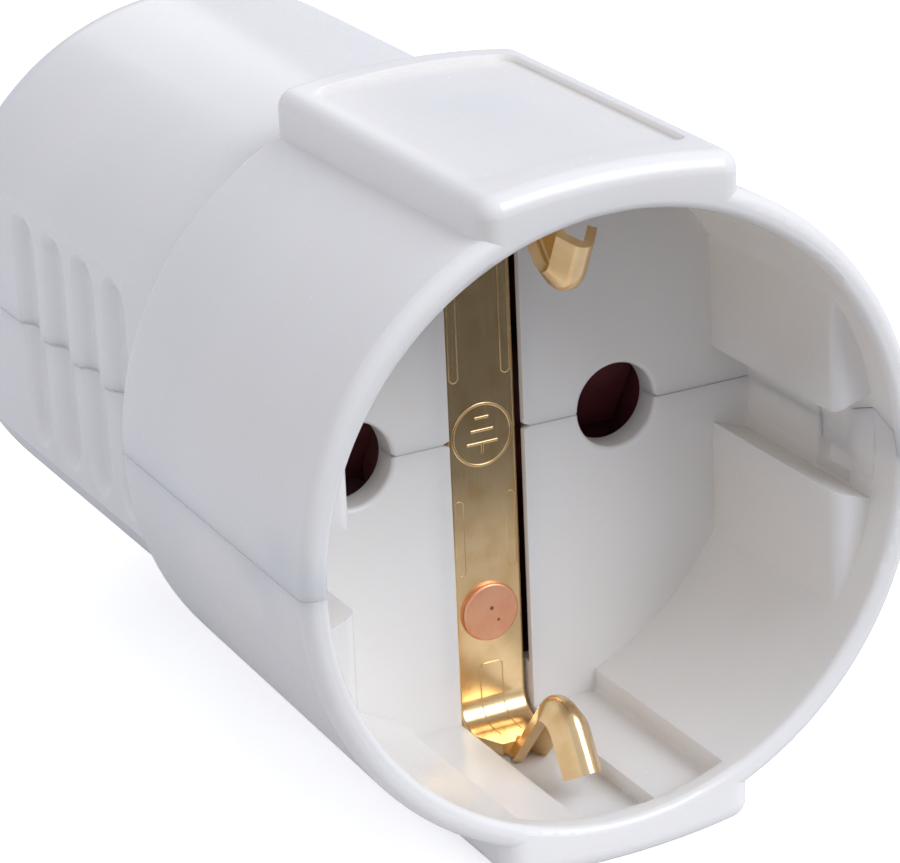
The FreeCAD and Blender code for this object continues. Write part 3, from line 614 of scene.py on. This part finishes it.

# %% [markdown]
# ## Shutter spring
#
# A small coil spring holds the shutter over the pin holes. When a plug pushes the shutter up, the
# spring's lower end goes with it, and the coil closes. The coil is made again as a helix in
# Geometry Nodes, where its size follows the CAD piece, and it stands in for the CAD spring.

# %% The coil
SPRING_TURNS = 6.0
POINTS_A_TURN = 24
WIRE_RADIUS = 0.15
WIRE_SIDES = 12
spring_low, spring_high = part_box("shutter_spring")
spring_middle = (spring_low + spring_high) / 2
coil_tree, size = new_tree("coil", ["Coil Radius", "Coil Height", "Wire Radius"])
helix = add(
    coil_tree,
    "GeometryNodeCurveSpiral",
    Resolution=POINTS_A_TURN,
    Rotations=SPRING_TURNS,
    Start_Radius=size["Coil Radius"],
    End_Radius=size["Coil Radius"],
    Height=size["Coil Height"],
)
finish_tree(coil_tree, helix.outputs["Curve"], size["Wire Radius"], spring_wire, WIRE_SIDES)
coil_sizes = {
    "Coil Radius": (spring_high.x - spring_low.x) / 2 / MM - WIRE_RADIUS,
    "Coil Height": (spring_high.z - spring_low.z) / MM - 2 * WIRE_RADIUS,
    "Wire Radius": WIRE_RADIUS,
}
foot = Matrix.Translation((spring_middle.x, spring_middle.y, spring_low.z + WIRE_RADIUS * MM))
coil = make_piece("coil_spring", coil_tree, coil_sizes, place=foot)
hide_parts("shutter_spring")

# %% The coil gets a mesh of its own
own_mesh(coil)

# %% [markdown]
# ## Floor
#
# The floor is a plain pale sheet under the lower pad, lit a little from below like a light
# table, so that it stays bright round the part. What the part itself sees underneath is a
# separate grey board, and in front of it a dark card. Both lie just below the floor, out of the
# picture. Polished brass looks like metal only when it has something dark to mirror, and the
# card gives the upper half of the strip its depth.

# %% A sheet of paper
MOTTLE_MM = 40


def paper(name, x_range, y_range, z, dark, pale, glow=0.0):
    """A flat stage sheet of slightly uneven paper."""
    corners = [(x_range[0], y_range[0], z), (x_range[1], y_range[0], z)]
    corners += [(x_range[1], y_range[1], z), (x_range[0], y_range[1], z)]
    mesh = bpy.data.meshes.new(name)
    mesh.from_pydata(corners, [], [(0, 1, 2, 3)])
    stage = bpy.data.objects.new(name, mesh)
    bpy.context.scene.collection.objects.link(stage)
    material, tree, shader, place = new_material(name + "_paper")
    mottle = add(tree, "ShaderNodeTexNoise", Vector=place, Scale=per_metre(MOTTLE_MM), Detail=2.0)
    darker = linear(dark)
    paler = linear(pale)
    tint = add(tree, "ShaderNodeMix", COLOUR_MIX, i0=mottle.outputs["Fac"], i6=darker, i7=paler)
    tree.links.new(tint.outputs[2], shader.inputs["Base Color"])
    shader.inputs["Roughness"].default_value = 0.9
    shader.inputs["Emission Color"].default_value = (1, 1, 1, 1)
    shader.inputs["Emission Strength"].default_value = glow
    mesh.materials.append(material)
    print("laid", name, "at z =", round(z / MM, 2), "mm")
    return stage


print("mottle of the paper:", MOTTLE_MM, "mm")

# %% Floor, board and card
REACH = 3.0
CARD_X = (-0.2, 0.2)
CARD_Y = (-0.25, -0.019)
FLOOR_GLOW = 0.6
BOARD_DROP = 1 * MM
CARD_DROP = 0.5 * MM
wide = (-REACH, REACH)
floor_z = cad_low.z
floor = paper("floor", wide, wide, floor_z, "#f4f4f6", "#f8f8fa", FLOOR_GLOW)
floor.visible_diffuse = False
floor.visible_glossy = False
floor.visible_shadow = False
board = paper("grey_board", wide, wide, floor_z - BOARD_DROP, "#dcdcde", "#e2e2e4")
card = paper("dark_card", CARD_X, CARD_Y, floor_z - CARD_DROP, "#333333", "#404040")
for unseen in (board, card):
    unseen.visible_camera = False
    unseen.visible_shadow = False

# %% [markdown]
# ## Light
#
# The main light stands in front, high and to the right, and is broad enough to leave soft
# shadows: it reaches the lower left of the recess and leaves the upper right in shade. A softbox
# behind draws the highlight along the handle, and an even white surround, like a light tent,
# keeps the shadows open. A sun lamp stands for the main light, since it lights all of the part
# from one direction.

# %% Surround
TENT_STRENGTH = 0.69
world = bpy.data.worlds.new("light_tent")
bpy.context.scene.world = world
world.use_nodes = True
tent = world.node_tree.nodes["Background"]
tent.inputs["Color"].default_value = linear("#f0f3ff")
tent.inputs["Strength"].default_value = TENT_STRENGTH
print("surround:", TENT_STRENGTH)

# %% Lamps
MIDDLE_OF_SOCKET = Vector((0, 0.03, 0))


def lamp(name, kind, place, strength, colour, **sizes):
    """A light at a place in metres that points at the middle of the socket."""
    data = bpy.data.lights.new(name, kind)
    data.energy = strength
    data.color = linear(colour)[:3]
    for size_name, value in sizes.items():
        setattr(data, size_name, value)
    light = bpy.data.objects.new(name, data)
    bpy.context.scene.collection.objects.link(light)
    light.location = place
    aim = MIDDLE_OF_SOCKET - light.location
    light.rotation_mode = "QUATERNION"
    light.rotation_quaternion = aim.to_track_quat("-Z", "Y")


KEY_PLACE = Vector((0.85, -1.17, 1.19))
KEY_STRENGTH = 1.85
KEY_SPREAD = math.radians(40)
REAR_PLACE = Vector((0.107, 0.597, 0.234))
REAR_WATTS = 0.09
softbox = {"shape": "RECTANGLE", "size": 0.2, "size_y": 0.14}
lamp("key", "SUN", KEY_PLACE, KEY_STRENGTH, "#f2f7ff", angle=KEY_SPREAD)
lamp("rear", "AREA", REAR_PLACE, REAR_WATTS, "#ffffff", **softbox)
print("lamps:", len(bpy.data.lights))

# %% [markdown]
# ## Camera
#
# A camera could be placed by eye, but a small error in its place would show in every edge. These
# numbers come from a camera fitted to the photograph with the recess's standard sizes: its
# place, the direction it looks in, and a small lean. The sensor is 36 mm across the frame. The
# standard view transform keeps white plastic white.

# %% Camera at the photograph's angle
CAMERA_PLACE = Vector((-103.15, -183.28, 89.23)) * MM
AZIMUTH, DOWN, LEAN = (math.radians(angle) for angle in (26.602, 21.483, 2.544))
SENSOR_MM = 36.0
LENS_MM = 153.36
NEAREST = 0.01
across = math.cos(DOWN)
look = Vector((math.sin(AZIMUTH) * across, math.cos(AZIMUTH) * across, -math.sin(DOWN)))
camera = bpy.data.objects.new("camera", bpy.data.cameras.new("camera"))
camera.data.sensor_width = SENSOR_MM
camera.data.lens = LENS_MM
camera.data.clip_start = NEAREST
camera.location = CAMERA_PLACE
level = look.to_track_quat("-Z", "Y").to_matrix().to_4x4()
camera.rotation_mode = "QUATERNION"
camera.rotation_quaternion = (level @ Matrix.Rotation(-LEAN, 4, "Z")).to_quaternion()
bpy.context.scene.collection.objects.link(camera)
bpy.context.scene.camera = camera
bpy.context.scene.view_settings.view_transform = "Standard"
print("camera", round(CAMERA_PLACE.length, 3), "m from the mouth")
